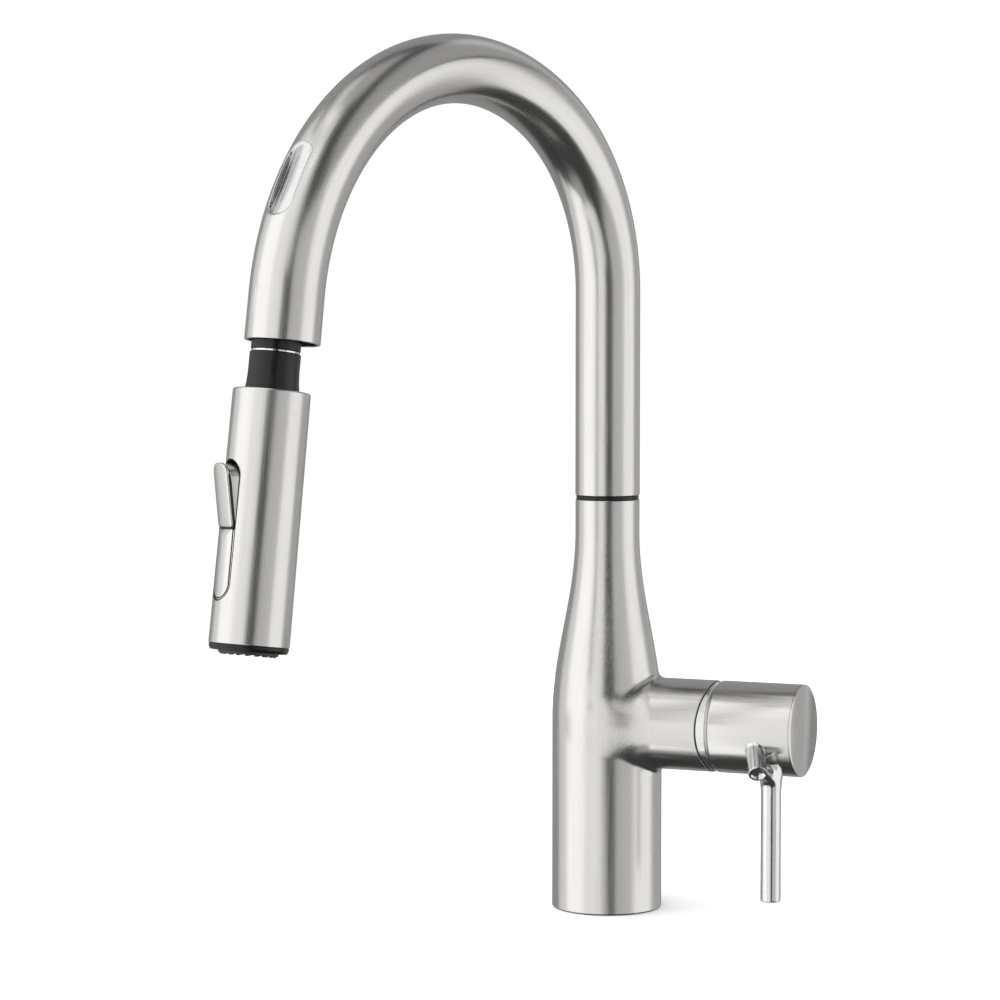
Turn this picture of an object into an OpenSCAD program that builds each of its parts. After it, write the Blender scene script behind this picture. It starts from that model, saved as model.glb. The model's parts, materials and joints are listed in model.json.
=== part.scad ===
// Pull-down kitchen faucet: side lever, swivelling gooseneck spout and pull-out spray head.
// Origin: centre of the base where it meets the deck. +Z up, +X along the handle's hub.

/* [Body] */
// Diameter of the base
base_d = 51.2; // [48:0.2:56]
// Diameter of the neck where it meets the spout
neck_d = 29.8; // [29:0.2:31]
// Height of the body up to the swivel ring
body_h = 190.8; // [185:0.2:200]
// Height where the neck starts to widen
neck_low = 88; // [84:1:92]
// Height where the neck has reached its thin end
neck_high = 176; // [170:1:180]
// Wall of the body
body_wall = 2.4; // [2:0.1:2.6]

/* [Branch and handle] */
// Diameter of the side branch and of the handle's hub
hub_d = 42.2; // [42:0.1:42.6]
// Height of the hub's axis
hub_z = 87.5; // [86:0.5:89]
// Where the branch ends above and below
branch_end = 54; // [53.8:0.1:54]
// Where the hub starts
hub_start = 56.4; // [55.4:0.1:56.6]
// Where the hub ends
hub_end = 96; // [95:0.5:102]
// Place of the lever's rod along the hub
lever_x = 84.4; // [82:0.1:86]
// Diameter of the lever's rod
rod_d = 9.2; // [9:0.1:10]
// Height of the rod's lower end
rod_bottom = 10.7; // [8:0.1:20]

/* [Spout] */
// Diameter of the spout's tube
tube_d = 30; // [29.6:0.1:30.4]
// Wall of the spout's tube
tube_wall = 1.2; // [1:0.1:1.4]
// Height where the riser starts to bend
riser_top = 287; // [270:1:300]
// Radius of the first bend
arc1_r = 92.7; // [90:0.1:96]
// Angle that the first bend turns through
arc1_deg = 58.6; // [56:0.1:62]
// Radius of the second, wider bend
arc2_r = 114.5; // [110:0.1:118]
// Direction of the tube at the end of the second bend, from straight up
arc2_end = 172.1; // [170:0.1:176]
// Straight length at the tube's end
end_len = 19.3; // [19:0.1:24]
// Direction that the spout points in, from +X
spout_turn = -105.9; // [-130:0.1:-80]

/* [Spray head] */
// How far the head hangs out of the tube
head_gap = 20; // [19:0.5:21]
// Length of the head's shell
head_len = 103.6; // [103:0.1:104]
// Radius of the shell at its top
head_top_r = 15.9; // [15.8:0.1:16]
// Radius of the shell at its bottom
head_low_r = 16.5; // [16.4:0.1:16.6]
// Turn of the head about its own axis
head_turn = 19; // [0:1:40]
// Where the rocker's slot starts below the head's top
slot_top = 29.2; // [29:0.1:30]
// Where the rocker's slot ends
slot_low = 86.9; // [86:0.1:87.5]
// Width of the rocker's slot
slot_w = 14.4; // [14:0.1:15]
// Where the rocker's two pads meet
crease = 57.4; // [57:0.1:58]
// Angle between the rocker's two pads
rocker_deg = 11.5; // [10:0.1:11.5]

/* [Hidden] */
$fn = 96;
eps = 0.01;         // overlap that keeps a cut clean
fit = 0.05;         // radial running clearance

base_r = base_d / 2;
neck_r = neck_d / 2;
hub_r = hub_d / 2;
tube_r = tube_d / 2;
bore_r = tube_r - tube_wall;

// body
base_round = 1.3;   // rounding at the deck
neck_bore_r = 13.2;
neck_bore_low = 152;
branch_bore_r = 18.5;
saddle_r = 62;      // the branch's end is hollowed by this radius, front and back
saddle_x = branch_end + sqrt(saddle_r * saddle_r - hub_r * hub_r);
seal_t = 0.5;
plate_t = 12;
thread_depth = 8;
port_x = 13.2;      // supply and outlet tubes stand on this line
port_y = 10;
port_r = 4.5;
pipe_r = 4;
pipe_bore_r = 3;
pipe_top = hub_z - 4;
stud_r = 3.4;
stud_x = -13;
stud_y = 11;
passage_r = 7.5;

// swivel
ring_t = 2;
ring_r = 14.5;
spout_low = body_h + ring_t + 0.1;
sleeve_r = 12;
sleeve_bore_r = 8.8;
sleeve_low = 159;
sleeve_top = 222;
bush_low = 162;
seal_heights = [170, 180];
seal_r = 0.75;
clip_t = 1.5;
clip_proud = 0.8;

// cartridge, along X
cup_start = 9;
cup_floor = 22;
cup_end = 46;
cart_r = 14;
cart_start = 23;
cart_end = 50;
cart_bore_r = 11.5;
pivot_x = 35;       // the control stem tilts about this point
dome_r = 28.5;      // ball surface round the pivot, over which the hub's rim moves
dome_skirt_r = 20.6;
dome_hole_r = 15.2;
dome_t = 2.2;
stem_r = 3.5;
stem_tip_r = 1.7;
rotor_r = cart_bore_r - fit;
boss_turn = 23;     // the boss points forward, turned this much towards the hub's end
boss_deg = 36;      // and this much down
boss_r = 4.3;
boss_end = [83.7, -29.5, 71];
rod_y = -12.4;

// spout, in the spout's own plane: X is the reach, Z is up
c1 = [arc1_r, riser_top];
p1 = c1 + arc1_r * [-cos(arc1_deg), sin(arc1_deg)];
c2 = p1 + arc2_r * [cos(arc1_deg), -sin(arc1_deg)];
p2 = c2 + arc2_r * [-cos(arc2_end), sin(arc2_end)];
head_dir = [sin(arc2_end), cos(arc2_end)];
head_at = p2 + (end_len + head_gap) * head_dir;
weld_deg = 0.05;    // a bend stops this far short of its ends, inside the weld
weld_proud = 0.08;
sensor_deg = 150.5;
sensor_l = 36;
sensor_w = 14.2;
sensor_deep = 3.1;  // the sensor's window is hollowed this far
hose_r = 5.5;
hose_low = 22;
hose_end = -30;     // below the head's top, so inside the tube
cable_r = 1.3;
ferrule_r = 6.2;
ferrule_bore_r = 3.2;
guide_bore_r = 13.2;
magnet_bore_r = 12.2;
hang = [-1.5, -1.85]; // the head hangs this far off the axis of the tube's end
cable_off = 10.4;

// head, with s measured down its axis from its top
shell_wall = 1.3;
core_r = 14.4;
rocker_r = 16.2;
rocker_depth = 7;
pin_x = 11.4;       // the rocker turns about a pin this far off the head's axis
pin_r = 1;
pin_half = 8.1;
pocket_half = 7.1;
pad_low = 1.3;      // the upper pad starts this far below the slot's top, so that it clears it as it turns
spool_x = 1;
spool_r = 3;
tab_half = 0.9;
tab_slack = 0.7;    // room for the tab's arc in the spool's groove
gap = 0.35;         // clearance round the rocker
frame_w = 11.2;
frame_half = 4;
pocket_top = 27;
pocket_low = 90;
top_hole_r = 11.7;
core_top = 2.4;
core_low = 98.4;
nut_r = 9.25;
nut_low = 12;
water_r = 8;
bypass_r = 3;
face_r = 13.5;
face_s = 103;
base_ring_r = 15.1;
trim_r = 16.2;
trim_low = 106.2;
plate_r = 12.4;     // the lower, narrower step of the spray plate
plate_low = 107.4;
nozzle_r = 0.8;
nozzle_tip = 107.9;
aerator_r = 4.6;
aerator_tip = 107.3;

// ---------- shared shapes ----------

// radius of the body at height z
function body_r(z) = z <= neck_low ? base_r : z >= neck_high ? neck_r
    : neck_r + (base_r - neck_r) * (1 + cos(180 * (z - neck_low) / (neck_high - neck_low))) / 2;

neck_heights = [for (i = [0:20]) neck_low + i * (neck_high - neck_low) / 20];

module along_x(x0, x1, r, r2 = -1)
    translate([x0, 0, hub_z]) rotate([0, 90, 0]) cylinder(r1 = r, r2 = r2 < 0 ? r : r2, h = x1 - x0);

module tube_x(x0, x1, r, hole) difference() {
    along_x(x0, x1, r);
    along_x(x0 - 1, x1 + 1, hole);
}

module tube_z(z0, z1, r, hole) difference() {
    translate([0, 0, z0]) cylinder(r = r, h = z1 - z0);
    translate([0, 0, z0 - 1]) cylinder(r = hole, h = z1 - z0 + 2);
}

module ring(at, big, small) translate([0, 0, at]) rotate_extrude()
    translate([big, 0]) circle(r = small, $fn = 32);

module saddle(r) translate([saddle_x, 0, hub_z]) rotate([90, 0, 0])
    cylinder(r = r, h = 3 * hub_d, center = true);

module in_spout() rotate([0, 0, spout_turn]) children();

// the frame of the tube's end: Z runs out of it, X points from the spout towards the riser
module in_tube_end() in_spout() translate([head_at[0], 0, head_at[1]]) rotate([0, arc2_end, 0]) children();

// the spray head's frame
module in_head() in_tube_end() translate([hang[0], hang[1], 0]) children();

// the same frame turned so that X points out through the rocker
module in_rocker() in_head() rotate([0, 0, 180 + head_turn]) children();

// one bend of a round bar of radius r with a round hole along it
module bend(centre, r, hole, big, from_deg, to_deg)
    translate([centre[0], 0, centre[1]]) rotate([90, 0, 0]) rotate([0, 0, 180 - to_deg + weld_deg])
        rotate_extrude(angle = to_deg - from_deg - 2 * weld_deg) translate([big, 0]) difference() {
            circle(r = r);
            if (hole > 0) circle(r = hole);
        }

// a straight stretch of the same bar
module straight(r, hole, h) difference() {
    cylinder(r = r, h = h);
    if (hole > 0) translate([0, 0, -1]) cylinder(r = hole, h = h + 2);
}

// the weld that joins two stretches at a point of the spout's centre line
module weld(at, deg, r, hole, out) translate([at[0], 0, at[1]]) rotate([0, deg, 0])
    translate([-out, 0, -0.5]) straight(r + weld_proud, hole > 0 ? hole - weld_proud : 0, 1);

// a round bar or tube that follows the spout, off its centre line by out
module spout_bar(r, hole, low, tail, out = 0) {
    translate([-out, 0, low]) straight(r, hole, riser_top - low - 0.1);
    weld([0, riser_top], 0, r, hole, out);
    bend(c1, r, hole, arc1_r + out, 0, arc1_deg);
    weld(p1, arc1_deg, r, hole, out);
    bend(c2, r, hole, arc2_r + out, arc1_deg, arc2_end);
    weld(p2, arc2_end, r, hole, out);
    translate([p2[0], 0, p2[1]]) rotate([0, arc2_end, 0])
        translate([-out, 0, 0.1]) straight(r, hole, tail - 0.1);
}

// a flat oval bar that stands out of the spout's outer face at the sensor
module sensor_bar(l, w) translate([c2[0], 0, c2[1]]) rotate([0, sensor_deg - 90, 0])
    translate([0, 0, arc2_r]) linear_extrude(20) union() {
        square([l - w, w], center = true);
        for (side = [-1, 1]) translate([side * (l - w) / 2, 0]) circle(d = w);
    }

// a short length of the second bend at the sensor, between two radii
module bend_shell(r_in, r_out) bend(c2, r_out, r_in, arc2_r, sensor_deg - 14, sensor_deg + 14);

// ---------- body ----------

module faucet_body() color([0.74, 0.73, 0.71]) difference() {
    union() {
        rotate_extrude() polygon(concat(
            [[0, 0], [base_r - base_round, 0], [base_r, base_round]],
            [for (z = neck_heights) [body_r(z), z]],
            [[neck_r, body_h], [0, body_h]]));
        along_x(0, branch_end + 4, hub_r);
    }
    rotate_extrude() polygon(concat(
        [[0, -1], [base_r - body_wall, -1]],
        [for (z = neck_heights) if (z < neck_bore_low) [body_r(z) - body_wall, z]],
        [[neck_bore_r, neck_bore_low], [neck_bore_r, body_h + 1], [0, body_h + 1]]));
    along_x(0, branch_end + 5, branch_bore_r);
    saddle(saddle_r);
}

module deck_gasket() color([0.1, 0.1, 0.1]) tube_z(0, 1.2, base_r - body_wall, base_r - body_wall - 1.6);

module base_plate() color([0.72, 0.58, 0.3]) difference() {
    union() {
        cylinder(r = base_r - body_wall - 1.6, h = plate_t);
        translate([0, 0, 1.2]) cylinder(r = base_r - body_wall, h = plate_t - 1.2);
    }
    translate([0, 0, -1]) cylinder(r = passage_r, h = plate_t + 2);
    for (y = [-port_y, 0, port_y]) translate([port_x, y, -1]) {
        cylinder(r = port_r, h = thread_depth + 1);
        cylinder(r = pipe_r, h = plate_t + 2);
    }
    for (side = [-1, 1]) translate([stud_x, side * stud_y, -1]) cylinder(r = stud_r, h = plate_t + 2);
}

module pipe(y) translate([port_x, y, 0]) tube_z(thread_depth, pipe_top, pipe_r, pipe_bore_r);

module hot_tube() color([0.72, 0.45, 0.3]) pipe(port_y);
module cold_tube() color([0.72, 0.45, 0.3]) pipe(-port_y);
module outlet_tube() color([0.72, 0.45, 0.3]) pipe(0);

module swivel_ring() color([0.08, 0.08, 0.08]) tube_z(body_h, body_h + ring_t, ring_r, sleeve_r + 0.3);

module swivel_bush() color([0.9, 0.9, 0.86]) tube_z(bush_low, body_h, neck_bore_r, sleeve_r + fit);

// ---------- mixing valve ----------

ports = [[7, -6], [-7, -6], [0, -8.6]];
port_hole_r = 2.2;

module port_bars(x0, x1, r) for (p = ports) translate([0, p[0], p[1]]) along_x(x0, x1, r);

module valve_body() color([0.72, 0.58, 0.3]) difference() {
    along_x(cup_start, cup_end, branch_bore_r - 0.1);
    along_x(cup_floor, cup_end + 1, cart_r + 0.1);
    for (y = [-port_y, 0, port_y]) translate([port_x, y, hub_z - 30]) cylinder(r = pipe_r, h = 26);
    port_bars(port_x, cup_floor + 1, port_hole_r);
}

module port_seals() color([0.1, 0.1, 0.1]) for (p = ports) translate([0, p[0], p[1]])
    tube_x(cup_floor, cart_start, port_hole_r + 1, port_hole_r);

module cartridge_body() color([0.85, 0.85, 0.82]) difference() {
    along_x(cart_start, cart_end, cart_r);
    along_x(cart_start + 3, cup_end + 0.3, cart_bore_r);
    along_x(cup_end, cart_end + 1, cart_bore_r - 1.1);
    port_bars(cart_start - 1, cart_start + 4, port_hole_r);
}

module fixed_disc() color([0.95, 0.95, 0.93]) difference() {
    along_x(cart_start + 3, cart_start + 5.5, cart_bore_r);
    port_bars(cart_start, cart_start + 8, port_hole_r);
}

module cartridge_nut() color([0.72, 0.58, 0.3])
    tube_x(cart_end, cart_end + 2, branch_bore_r - 0.1, cart_bore_r);

module seam_seal() color([0.05, 0.05, 0.05]) intersection() {
    difference() {
        tube_x(branch_end - 6, branch_end + 2, dome_skirt_r + 0.15, branch_bore_r + 0.1);
        saddle(saddle_r - seal_t);
    }
    saddle(saddle_r);
}

// points of an arc round the pivot, from one radius off the axis to another
function ball_arc(r, off_a, off_b) = [for (i = [0:8]) let(
    a = asin(off_a / r) + i / 8 * (asin(off_b / r) - asin(off_a / r))) [r * sin(a), r * cos(a)]];

module dome_ring() color([0.85, 0.85, 0.85]) intersection() {
    translate([pivot_x, 0, hub_z]) rotate([0, 90, 0]) rotate_extrude() polygon(concat(
        [[dome_skirt_r, branch_end - 6 - pivot_x]],
        ball_arc(dome_r, dome_skirt_r, dome_hole_r),
        ball_arc(dome_r - dome_t, dome_hole_r, branch_bore_r + 0.1),
        [[branch_bore_r + 0.1, branch_end - 6 - pivot_x]]));
    saddle(saddle_r - seal_t);
}

module cartridge_rotor() color([0.3, 0.3, 0.32]) difference() {
    along_x(pivot_x - 2.2, cup_end, rotor_r);
    translate([pivot_x - 4, -stem_r - 0.3, hub_z - 4.4]) cube([20, 2 * stem_r + 0.6, 13.6]);
    translate([pivot_x, 0, hub_z]) rotate([90, 0, 0]) cylinder(r = 1.2, h = 18, center = true);
}

module pivot_pin() color([0.6, 0.6, 0.6]) translate([pivot_x, 0, hub_z]) rotate([90, 0, 0])
    cylinder(r = 1.2, h = 18, center = true);

module moving_disc() color([0.95, 0.95, 0.93]) difference() {
    along_x(cart_start + 5.55, cart_start + 7.6, 9);
    translate([0, 0, -3]) along_x(cart_start + 5, cart_start + 6.8, 5.2);
}

module disc_driver() color([0.4, 0.4, 0.42]) difference() {
    along_x(cart_start + 7.6, pivot_x - 2.9, 9);
    along_x(cart_start + 8.2, pivot_x, 2.3);
}

// ---------- handle ----------

module control_stem() color([0.6, 0.6, 0.6]) difference() {
    union() {
        along_x(pivot_x - 3.4, pivot_x - 2.6, stem_tip_r);
        along_x(pivot_x - 2.6, pivot_x - 0.6, stem_tip_r, stem_r);
        along_x(pivot_x - 0.6, hub_end - 16, stem_r);
    }
    translate([pivot_x, 0, hub_z]) rotate([90, 0, 0]) cylinder(r = 1.2 + fit, h = 20, center = true);
}

// the frame of the boss: Z runs out of the hub and ends at its outer end
module on_boss() translate(boss_end) rotate([0, 0, boss_turn]) rotate([90 + boss_deg, 0, 0]) children();

module boss_bar(r, from, to) on_boss() translate([0, 0, -from]) cylinder(r = r, h = from - to);

module stem_adapter() color([0.72, 0.58, 0.3]) difference() {
    along_x(66, hub_end - 8, 8);
    along_x(65, hub_end - 16, stem_r);
    boss_bar(boss_r - 1, 40, 0);
}

module handle_hub() color([0.74, 0.73, 0.71]) difference() {
    along_x(hub_start, hub_end, hub_r);
    along_x(hub_start - 1, hub_start + 1, hub_r - 0.5);
    along_x(hub_start + 1 - eps, hub_start + 5, hub_r - 0.5, hub_r - 2.6);
    along_x(hub_start + 5 - eps, hub_end - 8, hub_r - 2.6);
    boss_bar(boss_r - 1, 40, 0);
}

module lever_boss() color([0.8, 0.8, 0.8]) difference() {
    union() {
        difference() {
            boss_bar(boss_r, 20, 0);
            along_x(hub_start, hub_end, hub_r);
        }
        boss_bar(boss_r - 1, 29, 10);
    }
    on_boss() translate([0, 0, 3.6]) sphere(r = 5);
}

web_top = [82.6, -26, 73.4];
web_low = [84.4, -13.6, 67];
web = web_low - web_top;

module lever_rod() color([0.8, 0.8, 0.8]) difference() {
    union() {
        translate([lever_x, rod_y, rod_bottom]) cylinder(r = rod_d / 2, h = 50);
        translate([lever_x, rod_y, rod_bottom + 50]) cylinder(r1 = rod_d / 2, r2 = 5.7, h = 14);
        translate(web_top) rotate([0, acos(web[2] / norm(web)), atan2(web[1], web[0])])
            cylinder(r = 3.6, h = norm(web));
    }
    along_x(hub_start, hub_end, hub_r);
    boss_bar(boss_r, 40, -2);
}

// ---------- spout ----------

module gooseneck_tube() color([0.74, 0.73, 0.71]) in_spout() difference() {
    spout_bar(tube_r, bore_r, spout_low, end_len);
    intersection() {
        sensor_bar(sensor_l, sensor_w);
        bend_shell(bore_r - 1, tube_r + 1);
    }
}

module spout_sleeve() color([0.72, 0.58, 0.3]) in_spout() difference() {
    union() {
        translate([0, 0, sleeve_low]) cylinder(r = sleeve_r, h = spout_low - sleeve_low + 1);
        translate([0, 0, spout_low]) cylinder(r = bore_r, h = sleeve_top - spout_low);
    }
    translate([0, 0, sleeve_low - 1]) cylinder(r = sleeve_bore_r, h = sleeve_top);
    for (z = seal_heights) tube_z(z - seal_r, z + seal_r, sleeve_r + 1, sleeve_r - 2 * seal_r - 0.04);
    translate([0, 0, sleeve_low + 1]) tube_z(0, clip_t, sleeve_r + 1, sleeve_r - clip_proud);
    translate([-cable_off, 0, spout_low + 6]) cylinder(r = 2.4, h = 40);
}

module sleeve_seals() color([0.1, 0.1, 0.1]) in_spout() 
    for (z = seal_heights) ring(z, sleeve_r - seal_r - 0.01, seal_r);

module retaining_clip() color([0.6, 0.6, 0.6]) in_spout() translate([0, 0, sleeve_low + 1]) difference() {
    tube_z(0, clip_t, sleeve_r + clip_proud, sleeve_r - clip_proud);
    translate([0, -2, -1]) cube([20, 4, 4]);
}

module sensor_bezel() color([0.85, 0.85, 0.85]) in_spout() intersection() {
    difference() {
        sensor_bar(sensor_l, sensor_w);
        sensor_bar(sensor_l - 1.6, sensor_w - 1.6);
    }
    bend_shell(tube_r - sensor_deep, tube_r);
}

module sensor_lens() color([0.75, 0.75, 0.75]) in_spout() intersection() {
    sensor_bar(sensor_l - 1.6, sensor_w - 1.6);
    bend_shell(tube_r - sensor_deep, tube_r - sensor_deep + 0.8);
}

module sensor_module() color([0.12, 0.14, 0.12]) in_spout() intersection() {
    sensor_bar(sensor_l - 2, sensor_w - 1);
    bend_shell(hose_r + 2.5, tube_r - sensor_deep);
}

module sensor_cable() color([0.1, 0.1, 0.1]) in_spout() {
    translate([-cable_off, 0, spout_low + 20]) straight(cable_r, 0, riser_top - spout_low - 20.1);
    weld([0, riser_top], 0, cable_r, 0, cable_off);
    bend(c1, cable_r, 0, arc1_r + cable_off, 0, arc1_deg);
    weld(p1, arc1_deg, cable_r, 0, cable_off);
    bend(c2, cable_r, 0, arc2_r + cable_off, arc1_deg, sensor_deg - 10);
}

module sensor_connector() color([0.9, 0.9, 0.88]) in_spout() translate([-cable_off, 0, spout_low + 8])
    cylinder(r = 2.2, h = 12);

module docking_guide() color([0.08, 0.08, 0.08]) in_tube_end()
    tube_z(-head_gap - 16, -head_gap - 5, bore_r, guide_bore_r);

module docking_magnet() color([0.35, 0.35, 0.37]) in_tube_end()
    tube_z(-head_gap - 19, -head_gap - 16, bore_r - 0.6, magnet_bore_r);

module pull_hose() color([0.5, 0.5, 0.52]) in_spout()
    spout_bar(hose_r, 0, hose_low, end_len + head_gap + hose_end);

module hose_coupling() color([0.72, 0.58, 0.3]) in_spout() difference() {
    tube_z(14, hose_low + 14, 8.4, hose_r);
    translate([0, 0, 13]) cylinder(r = 6.4, h = 9);
}

// ---------- pull-out end of the hose ----------

module docking_collar() color([0.1, 0.1, 0.1]) in_head() rotate_extrude() polygon([
    [ferrule_r, hose_end], [9.6, hose_end], [10.2, hose_end + 0.8], [10.2, -16.6], [9.4, -16.6],
    [9.4, -15.3], [10.5, -15.3], [10.5, -8], [10.7, -4], [11.1, -1], [11.1, 4], [ferrule_r, 4]]);

module collar_snap_ring() color([0.8, 0.8, 0.8]) in_head() tube_z(-16.45, -15.45, 10, 9.4);

module hose_ferrule() color([0.8, 0.8, 0.8]) in_head() tube_z(hose_end, 4, ferrule_r, ferrule_bore_r);

module swivel_nut() color([0.72, 0.58, 0.3]) in_head() tube_z(4, nut_low, nut_r, ferrule_bore_r);

// ---------- spray head ----------

module slot_bar(l_top, l_low, w) {
    r = w / 2;
    rotate([0, 90, 0]) linear_extrude(30) union() {
        translate([-l_low + r, -r]) square([l_low - l_top - w, w]);
        for (s = [l_top + r, l_low - r]) translate([-s, 0]) circle(r = r);
    }
}

module head_shell() color([0.74, 0.73, 0.71]) in_rocker() difference() {
    cylinder(r1 = head_top_r, r2 = head_low_r, h = head_len);
    translate([0, 0, core_top])
        cylinder(r1 = head_top_r - shell_wall, r2 = head_low_r - shell_wall, h = head_len);
    translate([0, 0, -1]) cylinder(r = top_hole_r, h = 5);
    slot_bar(slot_top, slot_low, slot_w);
}

module head_core() color([0.2, 0.2, 0.2]) in_rocker() difference() {
    translate([0, 0, core_top]) cylinder(r = core_r, h = core_low - core_top);
    cylinder(r = top_hole_r, h = 4.3);
    translate([0, 0, 2]) cylinder(r = nut_r + fit, h = nut_low - 1.6);
    translate([0, 0, nut_low]) cylinder(r = water_r, h = 12);
    translate([-9, 0, 20]) cylinder(r = bypass_r, h = 90);
    translate([5, -pocket_half, pocket_top]) cube([20, 2 * pocket_half, pocket_low - pocket_top]);
    pin_hole(0);
    translate([spool_x, 0, 43]) cylinder(r = spool_r + fit, h = 30);
    translate([spool_x, -1.8, 50]) cube([6, 3.6, 16]);
}

module filter_washer() color([0.6, 0.6, 0.6]) in_rocker() tube_z(nut_low + 0.4, nut_low + 1.4, water_r, 4);

module check_valve() color([0.9, 0.9, 0.9]) in_rocker() tube_z(nut_low + 1.4, 24, water_r, 3);

module rocker_pin() color([0.6, 0.6, 0.6]) in_rocker() translate([pin_x, 0, crease]) rotate([90, 0, 0])
    cylinder(r = pin_r, h = 2 * pin_half, center = true);

module head_base_ring() color([0.08, 0.08, 0.08]) in_rocker() union() {
    tube_z(core_low, head_len, base_ring_r, face_r + 0.1);
    tube_z(head_len, trim_low, trim_r, face_r + 0.1);
}

nozzle_rings = [[7.4, 12], [10.8, 18]]; // radius and count of each ring of nozzles

module nozzle_bars(s0, s1, r) for (row = nozzle_rings) for (i = [0:row[1] - 1])
    rotate([0, 0, i * 360 / row[1]]) translate([row[0], 0, s0]) cylinder(r = r, h = s1 - s0, $fn = 16);

module spray_face() color([0.16, 0.16, 0.17]) in_rocker() difference() {
    union() {
        translate([0, 0, face_s]) cylinder(r = face_r, h = 2.7);
        translate([0, 0, face_s]) cylinder(r = plate_r, h = plate_low - face_s);
    }
    translate([0, 0, face_s - 1]) cylinder(r = aerator_r, h = 6);
    nozzle_bars(face_s - 1, plate_low + 1, nozzle_r);
}

module face_seal() color([0.1, 0.1, 0.1]) in_rocker() tube_z(face_s - 4, face_s, face_r, 12);

module spray_nozzles() color([0.3, 0.3, 0.31]) in_rocker() nozzle_bars(face_s - 0.4, nozzle_tip, nozzle_r);

module aerator() color([0.75, 0.75, 0.75]) in_rocker() difference() {
    translate([0, 0, face_s - 2]) cylinder(r = aerator_r, h = aerator_tip - face_s + 2);
    translate([0, 0, aerator_tip - 1.6]) cylinder(r = 3.9, h = 3);
}

// ---------- rocker ----------

module rocker_frame() color([0.12, 0.12, 0.12]) in_rocker() difference() {
    union() {
        translate([8.2, -frame_w / 2, crease - frame_half]) cube([6.4, frame_w, 2 * frame_half]);
        translate([0.6, -1.4, crease - tab_half]) cube([8, 2.8, 2 * tab_half]);
    }
    translate([pin_x, 0, crease]) rotate([90, 0, 0]) cylinder(r = pin_r + fit, h = 20, center = true);
}

// the hole that a pin or its clearance makes
module pin_hole(slack) translate([pin_x, 0, crease]) rotate([90, 0, 0])
    cylinder(r = pin_r + slack, h = 2 * pin_half, center = true);

// one pad: a slice of a tube between two stations along the slot
module pad(l_top, l_low) intersection() {
    tube_z(slot_top - 2, slot_low + 2, rocker_r, rocker_r - rocker_depth);
    slot_bar(slot_top + gap, slot_low - gap, slot_w - 2 * gap);
    translate([0, -10, l_top]) cube([30, 20, l_low - l_top]);
}

// the upper pad's own shape, which ends pad_low below the slot's top
module raised_pad() intersection() {
    tube_z(slot_top, crease + 1, rocker_r, rocker_r - rocker_depth);
    slot_bar(slot_top + pad_low, slot_low, slot_w - 2 * gap);
    translate([0, -10, slot_top]) cube([30, 20, crease - slot_top]);
}

// room inside a pad for the frame that carries both
module frame_room() translate([5, -frame_w / 2 - 0.2, crease - frame_half - 0.2])
    cube([9.8, frame_w + 0.4, 2 * frame_half + 0.6]);

module tilt() translate([rocker_r, 0, crease]) rotate([0, -rocker_deg, 0]) children();

module rocker_upper_pad() color([0.8, 0.8, 0.8]) in_rocker() difference() {
    intersection() {
        tilt() translate([-rocker_r, 0, -crease]) raised_pad();
        slot_bar(slot_top + gap, slot_low, slot_w);
    }
    frame_room();
    pin_hole(0.2);
}

module rocker_lower_pad() color([0.8, 0.8, 0.8]) in_rocker() difference() {
    pad(crease + 0.1, slot_low);
    frame_room();
    pin_hole(0.2);
    tilt() translate([-20, -10, -20]) cube([30, 20, 20.1]);
}

module diverter_spool() color([0.72, 0.58, 0.3]) in_rocker() difference() {
    translate([spool_x, 0, 47]) cylinder(r = spool_r, h = 22);
    translate([spool_x - 1, -4, crease - tab_half - tab_slack]) cube([8, 8, 2 * (tab_half + tab_slack)]);
}

faucet_body();
deck_gasket();
base_plate();
hot_tube();
cold_tube();
outlet_tube();
swivel_ring();
swivel_bush();
valve_body();
port_seals();
cartridge_body();
fixed_disc();
cartridge_nut();
seam_seal();
dome_ring();
cartridge_rotor();
pivot_pin();
moving_disc();
disc_driver();
control_stem();
stem_adapter();
handle_hub();
lever_boss();
lever_rod();
gooseneck_tube();
spout_sleeve();
sleeve_seals();
retaining_clip();
sensor_bezel();
sensor_lens();
sensor_module();
sensor_cable();
sensor_connector();
docking_guide();
docking_magnet();
pull_hose();
hose_coupling();
docking_collar();
collar_snap_ring();
hose_ferrule();
swivel_nut();
head_shell();
head_core();
filter_washer();
check_valve();
rocker_pin();
head_base_ring();
spray_face();
face_seal();
spray_nozzles();
aerator();
rocker_frame();
rocker_upper_pad();
rocker_lower_pad();
diverter_spool();
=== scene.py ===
"""Studio view of a pull-down kitchen faucet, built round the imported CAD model. Lengths are in millimetres
until a mesh is made, and every piece is in the CAD model's own frame."""
import json
import math

import bmesh
import bpy
import numpy as np
from mathutils import Matrix, Vector


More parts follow.
